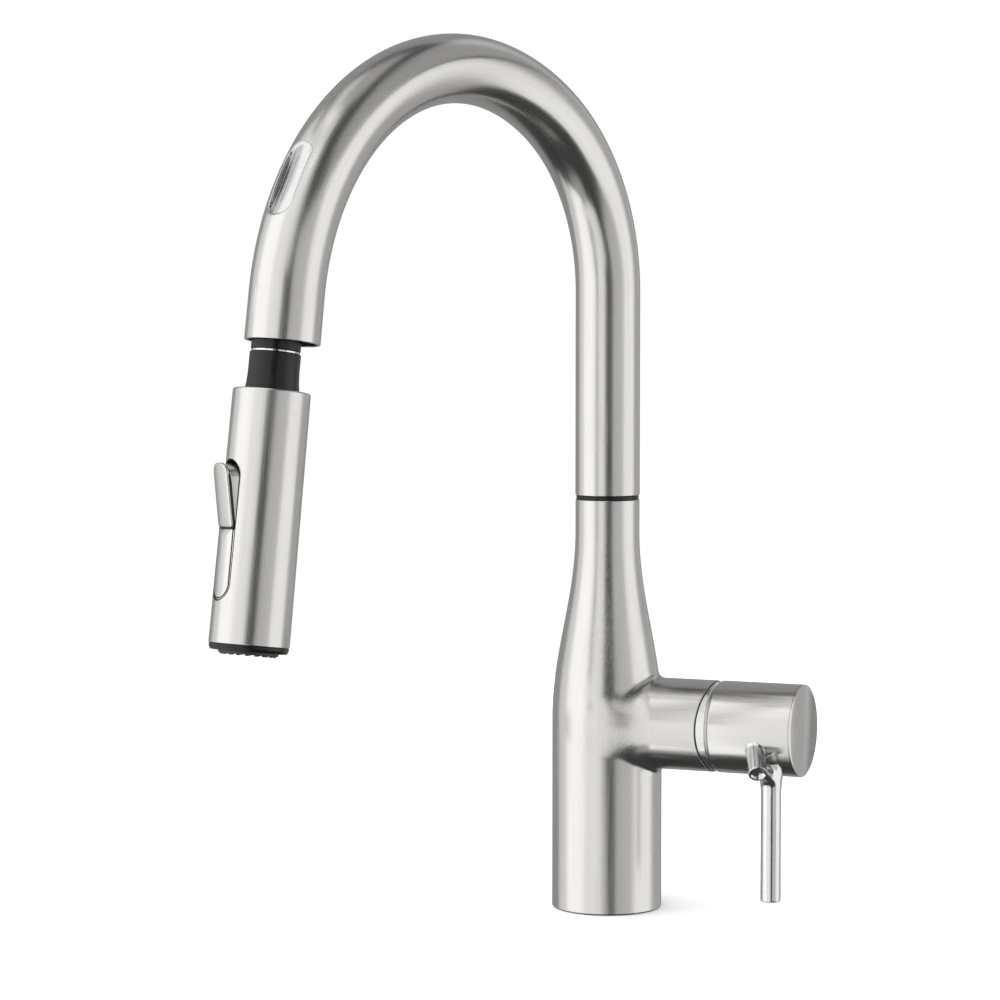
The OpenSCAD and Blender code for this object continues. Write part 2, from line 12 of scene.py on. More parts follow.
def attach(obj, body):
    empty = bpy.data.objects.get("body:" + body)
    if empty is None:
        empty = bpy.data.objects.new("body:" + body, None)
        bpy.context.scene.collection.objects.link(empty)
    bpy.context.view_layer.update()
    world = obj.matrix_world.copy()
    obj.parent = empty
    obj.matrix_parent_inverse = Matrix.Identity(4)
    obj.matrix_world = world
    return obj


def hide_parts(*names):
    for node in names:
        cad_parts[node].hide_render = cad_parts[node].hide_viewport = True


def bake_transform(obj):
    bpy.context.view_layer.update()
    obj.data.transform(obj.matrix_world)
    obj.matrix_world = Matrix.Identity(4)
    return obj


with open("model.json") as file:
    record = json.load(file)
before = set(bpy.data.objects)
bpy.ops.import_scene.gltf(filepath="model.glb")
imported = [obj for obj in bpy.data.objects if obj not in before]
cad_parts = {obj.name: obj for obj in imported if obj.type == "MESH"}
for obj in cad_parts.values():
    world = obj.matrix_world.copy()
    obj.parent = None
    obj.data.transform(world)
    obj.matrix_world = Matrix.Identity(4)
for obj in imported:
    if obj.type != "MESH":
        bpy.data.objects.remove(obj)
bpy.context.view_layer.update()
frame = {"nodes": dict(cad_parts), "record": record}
MM = 0.001

# ---------- driving dimensions, the same as the CAD source ----------
BASE_R, NECK_R, BODY_H = 25.58, 14.9, 190.8
NECK_LOW, NECK_HIGH = 88.0, 176.0
HUB_R, HUB_Z = 21.1, 87.5
BRANCH_END, HUB_START, HUB_END = 54.0, 56.4, 96.0
SADDLE_R = 62.0
PIVOT_X, DOME_R = 35.0, 28.5
LEVER_X, BOSS_TURN, BOSS_DEG, BOSS_R = 84.4, math.radians(23), math.radians(36), 4.3
ROD_R, ROD_Y, ROD_BOTTOM = 4.6, -12.4, 10.7
TUBE_R, TUBE_END_R = 14.98, 15.6
RISER_LOW, RISER_TOP = 192.9, 287.0
ARC1_R, ARC1, ARC2_R, ARC2 = 92.7, math.radians(58.6), 114.5, math.radians(172.1)
END_LEN, HEAD_GAP, HANG = 19.3, 20.0, (-1.5, -1.85)
SPOUT_TURN, HEAD_TURN = -105.9, 19.0
SENSOR_AT, SENSOR_L, SENSOR_W = math.radians(150.5), 36.0, 14.2
HEAD_LEN, HEAD_TOP_R, HEAD_LOW_R = 103.6, 15.9, 16.5
SLOT_TOP, SLOT_LOW, SLOT_W, CREASE = 29.2, 86.9, 14.4, 57.4
ROCKER_DEG, ROCKER_R = 11.5, 16.25
FACE_LOW = 107.4
HOSE_R = 5.5


def turned(axis, deg):
    return Matrix.Rotation(math.radians(deg), 4, axis)


def move(x, y, z):
    return Matrix.Translation((x, y, z))


# the spout's plane: X is the reach and Z is up
ARC1_C = np.array([ARC1_R, RISER_TOP])
ARC1_P = ARC1_C + ARC1_R * np.array([-math.cos(ARC1), math.sin(ARC1)])
ARC2_C = ARC1_P + ARC2_R * np.array([math.cos(ARC1), -math.sin(ARC1)])
ARC2_P = ARC2_C + ARC2_R * np.array([-math.cos(ARC2), math.sin(ARC2)])
END_DIR = np.array([math.sin(ARC2), math.cos(ARC2)])
HEAD_AT = ARC2_P + (END_LEN + HEAD_GAP) * END_DIR
IN_SPOUT = turned("Z", SPOUT_TURN)
IN_HEAD = IN_SPOUT @ move(HEAD_AT[0], 0, HEAD_AT[1]) @ turned("Y", math.degrees(ARC2)) @ move(*HANG, 0)
IN_ROCKER = IN_HEAD @ turned("Z", 180 + HEAD_TURN)
ON_HUB = move(0, 0, HUB_Z) @ turned("Y", 90)  # its Z runs along the hub's axis, from the body's centre


def placed(points, matrix):
    """Points of an n by 3 array, moved by a 4x4 matrix."""
    m = np.array(matrix)
    return np.asarray(points, float) @ m[:3, :3].T + m[:3, 3]


# ---------- mesh helpers ----------

def mesh_from(name, points, faces):
    """A mesh from points in millimetres."""
    mesh = bpy.data.meshes.new(name)
    mesh.from_pydata((np.asarray(points) * MM).tolist(), [], [tuple(f) for f in faces])
    return mesh


def points_of(mesh):
    """A mesh's points in millimetres."""
    return np.array([v.co for v in mesh.vertices]) / MM


def faces_of(mesh):
    return [tuple(f.vertices) for f in mesh.polygons]


def in_scene(name, data):
    """A new object in the scene."""
    thing = bpy.data.objects.new(name, data)
    bpy.context.scene.collection.objects.link(thing)
    return thing


def smoothed(mesh, degrees):
    """Shades a mesh smooth, with a hard edge where it turns by more than an angle."""
    mesh.polygons.foreach_set("use_smooth", [True] * len(mesh.polygons))
    mesh.set_sharp_from_angle(angle=math.radians(degrees))


def mesh_object(name, points, faces, material, body, stands_for=(), smooth=40, hole=None):
    """A mesh piece from points in millimetres, riding on a CAD body. A hole is the (points, faces) of a closed
    shape that is cut out of a closed piece."""
    piece = in_scene(name, mesh_from(name, points, faces))
    piece.data.materials.append(material)
    if hole:
        outward(piece.data)
        cut(piece, *hole)
    smoothed(piece.data, smooth)
    if body:
        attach(piece, body)
    if stands_for:
        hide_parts(*stands_for)
    return piece


def grain(piece, flow):
    """Stores the coordinates that the brushing follows: X and Y across the grain, Z along it."""
    attribute = piece.data.attributes.new("grain", "FLOAT_VECTOR", "POINT")
    attribute.data.foreach_set("vector", (np.asarray(flow, np.float32) * MM).ravel())


def grid_faces(rows, columns, closed=False):
    """Faces between rings of points that follow one another. Where closed, the last ring meets the first."""
    faces = []
    for i in range(rows if closed else rows - 1):
        a, b = i * columns, ((i + 1) % rows) * columns
        for j in range(columns):
            k = (j + 1) % columns
            faces.append((a + j, a + k, b + k, b + j))
    return faces


def bar_faces(rows, columns):
    """Faces of a closed bar: its sides and its two ends."""
    last = (rows - 1) * columns
    return grid_faces(rows, columns) + [tuple(reversed(range(columns))), tuple(range(last, last + columns))]


def merged(shapes):
    """Several (points, faces) shapes as one."""
    points, faces = [], []
    for shape_points, shape_faces in shapes:
        base = sum(len(q) for q in points)
        points.append(shape_points)
        faces += [tuple(i + base for i in f) for f in shape_faces]
    return np.vstack(points), faces


def ramp_up(x, start, length):
    """0 up to the start, rising to 1 over the length."""
    return np.clip((x - start) / length, 0, 1)


def rounded(profile, steps=4):
    """A profile of (radius, height, rounding) corners as plain points, with each rounding as an arc."""
    points = []
    for i, (r, z, round_r) in enumerate(profile):
        here = np.array([r, z])
        before, after = np.array(profile[i - 1][:2]), np.array(profile[(i + 1) % len(profile)][:2])
        if round_r <= 0:
            points.append(here)
            continue
        u, v = before - here, after - here
        u, v = u / np.linalg.norm(u), v / np.linalg.norm(v)
        half = math.acos(max(-1, min(1, float(u @ v)))) / 2
        reach = round_r / math.tan(half)
        middle = here + (u + v) / np.linalg.norm(u + v) * round_r / math.sin(half)
        start, end = here + u * reach - middle, here + v * reach - middle
        sweep = math.pi - 2 * half
        for k in range(steps + 1):
            t = k / steps
            arm = (math.sin((1 - t) * sweep) * start + math.sin(t * sweep) * end) / math.sin(sweep)
            points.append(middle + arm)
    return np.array(points)


def edge_arc(r, steps=4):
    """A rounded edge as (inwards, outwards) steps from where its rounding starts."""
    return [(r * (1 - math.cos(a)), r * math.sin(a)) for a in np.arange(1, steps + 1) / steps * math.pi / 2]


def circle(count):
    """Even angles round a full turn."""
    return np.arange(count) * 2 * math.pi / count


def lathe_points(profile, sides, matrix):
    """Points of a turned shape whose profile closes on itself."""
    angle = circle(sides)
    r, z = profile.T[:, :, None]
    points = np.stack([r * np.cos(angle), r * np.sin(angle), z + 0 * angle], -1).reshape(-1, 3)
    return points, placed(points, matrix)


def lathe(name, profile, matrix, material, body, stands_for=(), sides=128):
    """A turned piece. profile is a closed ring of (radius, height, rounding) corners off the axis, or it starts
    and ends on the axis and is then closed by its two centre points."""
    if profile[0][0] == 0:
        inner = rounded(profile)[1:-1]
        local, world = lathe_points(inner, sides, matrix)
        faces = grid_faces(len(inner), sides)
        ends = np.array([[0, 0, profile[0][1]], [0, 0, profile[-1][1]]])
        first, last = len(world), len(world) + 1
        tail = (len(inner) - 1) * sides
        faces += [(first, (j + 1) % sides, j) for j in range(sides)]
        faces += [(last, tail + j, tail + (j + 1) % sides) for j in range(sides)]
        local, world = np.vstack([local, ends]), np.vstack([world, placed(ends, matrix)])
    else:
        ring = rounded(profile)
        local, world = lathe_points(ring, sides, matrix)
        faces = grid_faces(len(ring), sides, closed=True)
    piece = mesh_object(name, world, faces, material, body, stands_for)
    outward(piece.data)
    grain(piece, local)


def outward(mesh, change=None):
    """Makes a change to a mesh with change(bm), where there is one, and turns its faces outwards."""
    bm = bmesh.new()
    bm.from_mesh(mesh)
    if change:
        change(bm)
    bmesh.ops.recalc_face_normals(bm, faces=bm.faces)
    bm.to_mesh(mesh)
    bm.free()


def modified(piece):
    """The mesh that a piece has with its modifiers applied."""
    bpy.context.view_layer.update()
    return bpy.data.meshes.new_from_object(piece.evaluated_get(bpy.context.evaluated_depsgraph_get()))


def cut(piece, points, faces):
    """Cuts a closed shape, given in millimetres, out of a piece."""
    cutter = in_scene("cutter", mesh_from("cutter", points, faces))
    outward(cutter.data)
    modifier = piece.modifiers.new("cut", "BOOLEAN")
    modifier.operation, modifier.solver, modifier.object = "DIFFERENCE", "EXACT", cutter
    cut_mesh = modified(piece)
    piece.modifiers.clear()
    piece.data = cut_mesh
    bpy.data.objects.remove(cutter)


def true_normals(piece, normal_at, agree=0.93):
    """Gives smooth faces the exact normal of the surface that they stand for, so that a cut leaves no dents."""
    mesh = piece.data
    exact = normal_at(points_of(mesh))
    normals = np.array([c.vector for c in mesh.corner_normals])
    for face in mesh.polygons:
        corners, verts = list(face.loop_indices), list(face.vertices)
        side = exact[verts] @ np.array(face.normal)
        if (side > agree).all():
            normals[corners] = exact[verts]
        elif (side < -agree).all():
            normals[corners] = -exact[verts]
    mesh.normals_split_custom_set(normals.tolist())


def stadium(length, width):
    """Points round a flat oval that is centred on the origin, and the direction outwards at each."""
    count, r, straight = 96, width / 2, length - width
    half = straight + math.pi * r
    points, outs = [], []
    for s in np.arange(count) / count * 2 * half:
        side = 1 if s < half else -1  # the second half is the first one turned round
        s = s % half
        if s < straight:
            out, middle = (0, -1), s - straight / 2
        else:
            a = (s - straight) / r - math.pi / 2
            out, middle = (math.cos(a), math.sin(a)), straight / 2
        points.append((side * (middle + r * out[0]), side * r * out[1]))
        outs.append((side * out[0], side * out[1]))
    return np.array(points), np.array(outs)


# ---------- materials ----------

class Nodes:
    """A material's node tree, with short calls to add to it."""

    def __init__(self, name, **settings):
        self.material = bpy.data.materials.new(name)
        self.material.use_nodes = True
        self.tree = self.material.node_tree
        self.shader = self.tree.nodes["Principled BSDF"]
        for socket, value in settings.items():
            self.shader.inputs[socket.replace("_", " ")].default_value = value

    def add(self, kind, **inputs):
        node = self.tree.nodes.new(kind)
        for socket, value in inputs.items():
            target = node.inputs[socket.replace("_", " ")]
            if hasattr(value, "links"):
                self.tree.links.new(value, target)
            else:
                target.default_value = value
        return node

    def place(self, attribute=None):
        if attribute:
            node = self.add("ShaderNodeAttribute")
            node.attribute_name = attribute
            return node.outputs["Vector"]
        return self.add("ShaderNodeTexCoord").outputs["Object"]

    def scaled(self, vector, scale):
        return self.add("ShaderNodeMapping", Vector=vector, Scale=scale).outputs["Vector"]

    def noise(self, vector, scale, detail=2.0):
        return self.add("ShaderNodeTexNoise", Vector=vector, Scale=scale, Detail=detail).outputs["Fac"]

    def ramp(self, value, low, high, to_low=0.0, to_high=1.0):
        node = self.add("ShaderNodeMapRange", Value=value, From_Min=low, From_Max=high, To_Min=to_low,
                        To_Max=to_high)
        return node.outputs["Result"]

    def mix(self, factor, a, b):
        """A colour between a and b. A mix node's colours are its inputs 6 and 7 and its output 2."""
        node = self.tree.nodes.new("ShaderNodeMix")
        node.data_type = "RGBA"
        self.tree.links.new(factor, node.inputs["Factor"])
        for socket, value in zip((6, 7), (a, b)):
            node.inputs[socket].default_value = (*value, 1)
        return node.outputs[2]

    def combined(self, operation, a, b):
        node = self.tree.nodes.new("ShaderNodeMath")
        node.operation = operation
        self.tree.links.new(a, node.inputs[0])
        self.tree.links.new(b, node.inputs[1])
        return node.outputs[0]

    def bump(self, height, strength, distance):
        node = self.add("ShaderNodeBump", Height=height, Strength=strength, Distance=distance)
        self.into("Normal", node.outputs["Normal"])

    def into(self, socket, value):
        self.tree.links.new(value, self.shader.inputs[socket])


def brushed_metal(name, attribute=None, tone=0.63, roughness=0.23, across=2600.0, along=26.0):
    """Satin steel with fine scratches along its grain."""
    n = Nodes(name, Metallic=1.0, Anisotropic=0.35)
    at = n.place(attribute)
    fine = n.noise(n.scaled(at, (across, across, along)), 1.0, 3.0)
    broad = n.noise(n.scaled(at, (across / 9, across / 9, along / 3)), 1.0, 2.0)
    cloud = n.noise(at, 28.0, 2.0)
    light = (tone * 1.04, tone * 1.02, tone * 0.99)
    dark = (tone * 0.98, tone * 0.96, tone * 0.93)
    n.into("Base Color", n.mix(n.ramp(broad, 0.3, 0.7), dark, light))
    rough = n.ramp(fine, 0.25, 0.75, roughness - 0.05, roughness + 0.06)
    drift = n.ramp(cloud, 0.3, 0.7, -0.015, 0.02)
    n.into("Roughness", n.combined("ADD", rough, drift))
    n.bump(fine, 0.05, 0.00004)
    return n.material


def polished_metal(name, tone=0.75, roughness=0.07):
    """Bright plated metal with a few hairlines and faint handling haze."""
    n = Nodes(name, Metallic=1.0)
    at = n.place()
    haze = n.noise(at, 60.0, 3.0)
    hair = n.noise(n.scaled(at, (900.0, 900.0, 90.0)), 1.0, 2.0)
    n.into("Base Color", n.mix(n.ramp(haze, 0.3, 0.7), (tone * 0.96,) * 3, (tone * 1.02, tone * 1.01, tone)))
    n.into("Roughness", n.ramp(hair, 0.2, 0.8, roughness * 0.7, roughness * 1.5))
    return n.material


def moulded(name, colour, roughness=0.38, grain_size=1400.0, depth=0.00003, specular=0.5):
    """Moulded plastic or rubber with a fine eroded texture."""
    n = Nodes(name, Specular_IOR_Level=specular)
    at = n.place()
    fine = n.noise(at, grain_size, 3.0)
    broad = n.noise(at, 90.0, 2.0)
    light = tuple(c * 1.25 + 0.001 for c in colour)
    n.into("Base Color", n.mix(n.ramp(broad, 0.3, 0.7), colour, light))
    n.into("Roughness", n.ramp(broad, 0.25, 0.75, roughness - 0.05, roughness + 0.08))
    n.bump(fine, 0.2, depth)
    return n.material


def machined(name, colour, roughness=0.3):
    """Turned brass, copper or steel with faint tool marks and tarnish."""
    n = Nodes(name, Metallic=1.0)
    at = n.place()
    marks = n.noise(n.scaled(at, (400.0, 400.0, 2600.0)), 1.0, 2.0)
    tarnish = n.noise(at, 110.0, 4.0)
    n.into("Base Color", n.mix(n.ramp(tarnish, 0.35, 0.7), tuple(c * 0.8 for c in colour), colour))
    n.into("Roughness", n.ramp(marks, 0.3, 0.7, roughness - 0.08, roughness + 0.1))
    n.bump(marks, 0.15, 0.00003)
    return n.material


def braided(name, colour):
    """Woven hose sleeve: two sets of strands that cross round the hose."""
    n = Nodes(name, Roughness=0.6)
    at = n.place("grain")
    strands = []
    for lean in (0.8, -0.8):
        turned = n.add("ShaderNodeMapping", Vector=at, Rotation=(0, 0, lean)).outputs["Vector"]
        strands.append(n.add("ShaderNodeTexWave", Vector=turned, Scale=110.0).outputs["Fac"])
    top = n.combined("MAXIMUM", *strands)
    n.into("Base Color", n.mix(top, tuple(c * 0.35 for c in colour), colour))
    n.bump(top, 0.6, 0.0003)
    return n.material


STEEL = brushed_metal("brushed_nickel", "grain")
HUB_STEEL = brushed_metal("brushed_nickel_hub", "grain", across=2200.0)
FACE_STEEL = brushed_metal("brushed_nickel_end", roughness=0.34, across=1500.0, along=1500.0)
POLISHED = polished_metal("polished_metal")
RING_STEEL = polished_metal("polished_ring", roughness=0.2)
DISH_STEEL = polished_metal("polished_dish", tone=0.6, roughness=0.18)
LEVER_STEEL = polished_metal("polished_lever", tone=0.68, roughness=0.15)
PAD_STEEL = brushed_metal("brushed_nickel_pads", "grain", tone=0.66, roughness=0.26, across=1800.0)
BLACK = moulded("black_plastic", (0.003, 0.003, 0.0033), roughness=0.26, depth=0.00001, specular=0.37)
SPRAY = moulded("spray_plastic", (0.018, 0.018, 0.019), roughness=0.4)
NUBS = moulded("nozzle_rubber", (0.035, 0.035, 0.036), roughness=0.55, grain_size=2400.0)
RUBBER = moulded("seal_rubber", (0.01, 0.01, 0.01), roughness=0.6)
WHITE = moulded("white_plastic", (0.72, 0.72, 0.69), roughness=0.35)
CERAMIC = moulded("ceramic", (0.82, 0.81, 0.78), roughness=0.15, depth=0.000005)
CASE = moulded("circuit_case", (0.02, 0.035, 0.025), roughness=0.5)
CABLE = moulded("cable_jacket", (0.015, 0.015, 0.015), roughness=0.5)
BRASS = machined("brass", (0.72, 0.53, 0.25))
COPPER = machined("copper", (0.72, 0.38, 0.24))
PLAIN = machined("plain_steel", (0.56, 0.56, 0.55))
BRAID = braided("hose_braid", (0.34, 0.34, 0.35))

BY_SLOT = {"brushed_nickel": FACE_STEEL, "polished_metal": POLISHED, "black_plastic": BLACK,
           "spray_plastic": SPRAY, "nozzle_rubber": NUBS, "seal_rubber": RUBBER, "brass": BRASS,
           "copper": COPPER, "white_plastic": WHITE, "ceramic": CERAMIC, "plain_steel": PLAIN,
           "circuit_case": CASE, "cable_jacket": CABLE, "hose_braid": BRAID}
for part in frame["record"]["subparts"]:
    node = frame["nodes"][part["node"]]
    node.data.materials.clear()
    node.data.materials.append(BY_SLOT[part["material_slot"]])


# ---------- body: one smooth casting ----------

def body_radius(z):
    t = ramp_up(z, NECK_LOW, NECK_HIGH - NECK_LOW)
    return NECK_R + (BASE_R - NECK_R) * (1 + np.cos(np.pi * t)) / 2


def smooth_union(a, b, k):
    h = np.maximum(k - np.abs(a - b), 0) / k
    return np.minimum(a, b) - h * h * k / 4


BLEND_SIDE, BLEND_FRONT = 4.0, 11.0
BEND_START, BEND_LEN = 34.0, 12.0  # the stretch of the branch over which its hollow end grows
RUN_ON = 6.0  # how far the rough shapes go past the ends


def body_field(p):
    """Signed distance, near enough, to the body and its branch, which both run on past their ends."""
    column = np.hypot(p[:, 0], p[:, 1]) - body_radius(p[:, 2])
    x, y, z = p[:, 0], p[:, 1], p[:, 2] - HUB_Z
    branch = np.sqrt(y ** 2 + z ** 2 + (1.7 * np.minimum(x, 0)) ** 2) - HUB_R  # its far end is half an egg
    level = np.clip(1 - (z / HUB_R) ** 2, 0, 1) * np.clip(-y / 10, 0, 1)
    return smooth_union(column, branch, BLEND_SIDE + (BLEND_FRONT - BLEND_SIDE) * level ** 1.5)


def gradient(field, p, step=0.02):
    g = np.stack([field(p + d) - field(p - d) for d in np.eye(3) * step], -1) / (2 * step)
    return g / np.maximum(np.linalg.norm(g, axis=1, keepdims=True), 1e-9), np.linalg.norm(g, axis=1)


def settle(field, p, rounds=8):
    """Moves points onto the surface where the field is nought."""
    for _ in range(rounds):
        direction, steepness = gradient(field, p)
        p = p - direction * (field(p) / np.maximum(steepness, 0.2))[:, None]
    return p


def skin(field, shapes, voxel):
    """A closed, even mesh of the field's surface. shapes are rough closed meshes that cover it."""
    rough = in_scene("rough", mesh_from("rough", *merged(shapes)))
    modifier = rough.modifiers.new("remesh", "REMESH")
    modifier.mode, modifier.voxel_size = "VOXEL", voxel * MM
    even = modified(rough)
    bpy.data.objects.remove(rough)
    return settle(field, points_of(even)), faces_of(even)


def rod_shape(radius_at, z0, z1, matrix, sides=64, rings=40):
    """A rough closed bar along Z, for skin()."""
    z = np.linspace(z0, z1, rings)
    profile = np.stack([radius_at(z) + 0 * z, z], -1)
    _, world = lathe_points(profile, sides, matrix)
    last = (rings - 1) * sides
    return world, grid_faces(rings, sides) + [tuple(range(sides)), tuple(reversed(range(last, last + sides)))]


def rim_loop(bm, on_rim):
    """The open edge loop whose points pass on_rim, as vertices in order."""
    edges = [e for e in bm.edges if e.is_boundary and all(on_rim(v.co) for v in e.verts)]
    follow = {}
    for e in edges:
        for v in e.verts:
            follow.setdefault(v, []).append(e.other_vert(v))
    start = edges[0].verts[0]
    loop = [start, follow[start][0]]
    while True:
        one, other = follow[loop[-1]]
        step = other if one is loop[-2] else one
        if step is start:
            return loop
        loop.append(step)


def hem(bm, loop, centre, axis, edge, wall, depth):
    """Rounds an open edge over and folds it inwards: an arc of radius edge, a flat as wide as the wall, and
    a return of the given depth. axis points out of the opening. Lengths are in metres here."""
    tracks = []
    for v in loop:
        arm = v.co - centre
        arm -= axis * arm.dot(axis)
        tracks.append((v.co.copy(), -arm.normalized()))
    offsets = edge_arc(edge) + [(wall, edge), (wall + 0.1 * MM, edge - depth * 0.5), (wall, edge - depth)]
    before = loop
    for inward, out in offsets:
        ring = [bm.verts.new(p + n * inward + axis * out) for p, n in tracks]
        for i in range(len(loop)):
            bm.faces.new((before[i - 1], before[i], ring[i], ring[i - 1]))
        before = ring


def saddle_shift(z):
    """How far the branch's end is drawn back at a height off the hub's axis."""
    off = np.clip(np.abs(z - HUB_Z), 0, HUB_R)
    return np.sqrt(SADDLE_R ** 2 - off ** 2) - np.sqrt(SADDLE_R ** 2 - HUB_R ** 2)


def straightening(points):
    """How far each point of the branch goes outwards for its hollowed end to be flat."""
    return ramp_up(points[:, 0], BEND_START, BEND_LEN) * saddle_shift(points[:, 2])


def make_body():
    edge_low, edge_top, edge_branch = 1.3, 0.35, 0.35
    column = rod_shape(body_radius, -RUN_ON, BODY_H + RUN_ON, Matrix.Identity(4), rings=90)
    branch = rod_shape(lambda z: HUB_R, 2, BRANCH_END + RUN_ON, ON_HUB)
    points, faces = skin(body_field, [column, branch], 0.9)
    # the branch is straightened for the cut, so that a flat cut leaves a saddle
    points[:, 0] += straightening(points)
    mesh = mesh_from("faucet_body_shell", points, faces)
    # each opening: a point of it, its way out, and the edge's rounding, the wall and the depth of the return
    openings = [(Vector(at) * MM, Vector(axis), edge, wall, depth) for at, axis, edge, wall, depth in (
        ((0, 0, edge_low), (0, 0, -1), edge_low, 2.4, 5),
        ((0, 0, BODY_H - edge_top), (0, 0, 1), edge_top, 1.7, 8),
        ((BRANCH_END - edge_branch, 0, HUB_Z), (1, 0, 0), edge_branch, 2.5, 8))]

    def finish_ends(bm):
        for at, axis, *_ in openings:
            bmesh.ops.bisect_plane(bm, geom=bm.verts[:] + bm.edges[:] + bm.faces[:], plane_co=at, plane_no=axis,
                                   clear_outer=True, dist=1e-7)
        for at, axis, edge, wall, depth in openings:
            loop = rim_loop(bm, lambda c: abs((c - at).dot(axis)) < 1e-6)
            hem(bm, loop, at, axis, edge * MM, wall * MM, depth * MM)
        for v, shift in zip(bm.verts, straightening(np.array([v.co for v in bm.verts]) / MM)):
            v.co.x -= shift * MM

    outward(mesh, finish_ends)
    final = points_of(mesh)
    body = mesh_object("faucet_body_shell", final, faces_of(mesh), STEEL, "body",
                       ["faucet_body"])
    true_normals(body, lambda p: gradient(body_field, p)[0], agree=0.85)
    along_branch = ramp_up(final[:, 0], 24, 8)[:, None]
    on_branch = np.stack([final[:, 1], final[:, 2] - HUB_Z, final[:, 0]], -1)
    grain(body, final * (1 - along_branch) + on_branch * along_branch)


make_body()

lathe("neck_ring", [(12.6, BODY_H, 0.2), (14.5, BODY_H, 0.3), (14.5, BODY_H + 2, 0.3), (12.6, BODY_H + 2, 0.2)],
      Matrix.Identity(4), BLACK, "body", ["swivel_ring"])


# ---------- seam and polished ring at the branch's end ----------

def saddle_ring(name, profile, follow, material, slot, stands_for, sides=160):
    """A ring on the hub's axis. follow says how much each profile point keeps to the hollowed end, 0 to 1."""
    angle = circle(sides)
    rows = []
    for (r, z), share in zip(profile, follow):
        x, y = r * np.cos(angle), r * np.sin(angle)
        rows.append(np.stack([x, y, z - share * saddle_shift(HUB_Z - x)], -1))
    local = np.array(rows).reshape(-1, 3)
    piece = mesh_object(name, placed(local, ON_HUB), grid_faces(len(profile), sides, closed=True), material,
                        "body", stands_for)
    outward(piece.data)
    grain(piece, local)


saddle_ring("seam_line", [(20.75, BRANCH_END - 0.25), (20.75, BRANCH_END + 0.35), (18.7, BRANCH_END + 0.35),
                          (18.7, BRANCH_END - 0.25)], [1] * 4, RUBBER, "black_plastic", ["seam_seal"])


def dome_profile():
    """The polished ring's outline, and how much each point keeps to the hollowed end. Its top is a ball."""
    rim, bore, hole, wall = 20.6, 18.6, 15.2, 2.2
    foot, low = BRANCH_END + 0.38, BRANCH_END + 0.6
    profile = [(rim - 0.25, foot)] + [(rim, low + k * 0.02) for k in range(6)]
    follow = [1] + [1 - k / 6 for k in range(6)]
    ball = [(r, PIVOT_X + math.sqrt(DOME_R ** 2 - r * r)) for r in np.linspace(rim, hole, 13)]
    ball += [(r, PIVOT_X + math.sqrt((DOME_R - wall) ** 2 - r * r)) for r in np.linspace(hole - 0.2, bore, 7)]
    return profile + ball + [(bore, foot)], follow + [0] * len(ball) + [1]


saddle_ring("polished_ring", *dome_profile(), RING_STEEL, "polished_metal", ["dome_ring"])


# ---------- handle ----------

lathe("hub_shell",
      [(0, HUB_END, 0), (HUB_R - 0.78, HUB_END, 0), (HUB_R, HUB_END - 0.45, 0), (HUB_R, HUB_END - 0.6, 0),
       (HUB_R - 0.35, HUB_END - 0.65, 0), (HUB_R - 0.35, HUB_END - 1.1, 0), (HUB_R, HUB_END - 1.15, 0),
       (HUB_R, HUB_START, 0.7), (19.0, HUB_START, 0.15), (19.0, HUB_START + 1.2, 0.2),
       (18.5, HUB_START + 5, 0.4), (18.5, HUB_END - 8, 1.0), (0, HUB_END - 8, 0)],
      ON_HUB, HUB_STEEL, "handle", ["handle_hub"], sides=160)

BOSS_AXIS = np.array([math.sin(BOSS_TURN) * math.cos(BOSS_DEG), -math.cos(BOSS_TURN) * math.cos(BOSS_DEG),
                      -math.sin(BOSS_DEG)])
BOSS_END = np.array([83.7, -29.5, 71.0])
WEB_TOP, WEB_LOW, WEB_R = np.array([82.6, -26.0, 73.4]), np.array([LEVER_X, -13.6, 67.0]), 3.6


def rod_radius(z):
    """The rod flares a little where it joins the boss."""
    flare, flare_low, flare_len = 1.1, 59, 11
    return ROD_R + flare * ramp_up(z, flare_low, flare_len) ** 1.6


def bar_field(p, a, b, r):
    """Signed distance to a round bar with flat ends from a to b."""
    length = np.linalg.norm(b - a)
    way = (b - a) / length
    up = (p - a) @ way
    off = np.linalg.norm(p - a - up[:, None] * way, axis=1) - r
    return np.maximum(off, np.maximum(-up, up - length))


def capsule_field(p, a, b, r):
    d = b - a
    t = np.clip(((p - a) @ d) / (d @ d), 0, 1)
    return np.linalg.norm(p - a - t[:, None] * d, axis=1) - r


def lever_field(p):
    """Signed distance, near enough, to the boss, its web and the rod."""
    rod = np.hypot(p[:, 0] - LEVER_X, p[:, 1] - ROD_Y) - rod_radius(p[:, 2])
    rod = -smooth_union(-rod, p[:, 2] - ROD_BOTTOM, 0.9)
    rod = np.maximum(rod, p[:, 2] - 80)
    boss = bar_field(p, BOSS_END - 20 * BOSS_AXIS, BOSS_END + 5 * BOSS_AXIS, BOSS_R)
    boss = boss - 0.55 * np.clip(1 - (np.hypot(p[:, 1], p[:, 2] - HUB_Z) - HUB_R) / 0.9, 0, 1)
    boss = -smooth_union(-boss, (BOSS_END - p) @ BOSS_AXIS, 0.5)
    dish = np.linalg.norm(p - (BOSS_END + 3.6 * BOSS_AXIS), axis=1) - 5.0
    web = capsule_field(p, WEB_TOP, WEB_LOW, WEB_R)
    whole = smooth_union(smooth_union(rod, web, 2.0), boss, 1.0)
    return -smooth_union(-whole, dish, 0.35)


def along(place, way):
    """A frame at a place, with its Z along a direction."""
    turn = Vector((0, 0, 1)).rotation_difference(Vector(way)).to_matrix().to_4x4()
    return Matrix.Translation(place) @ turn


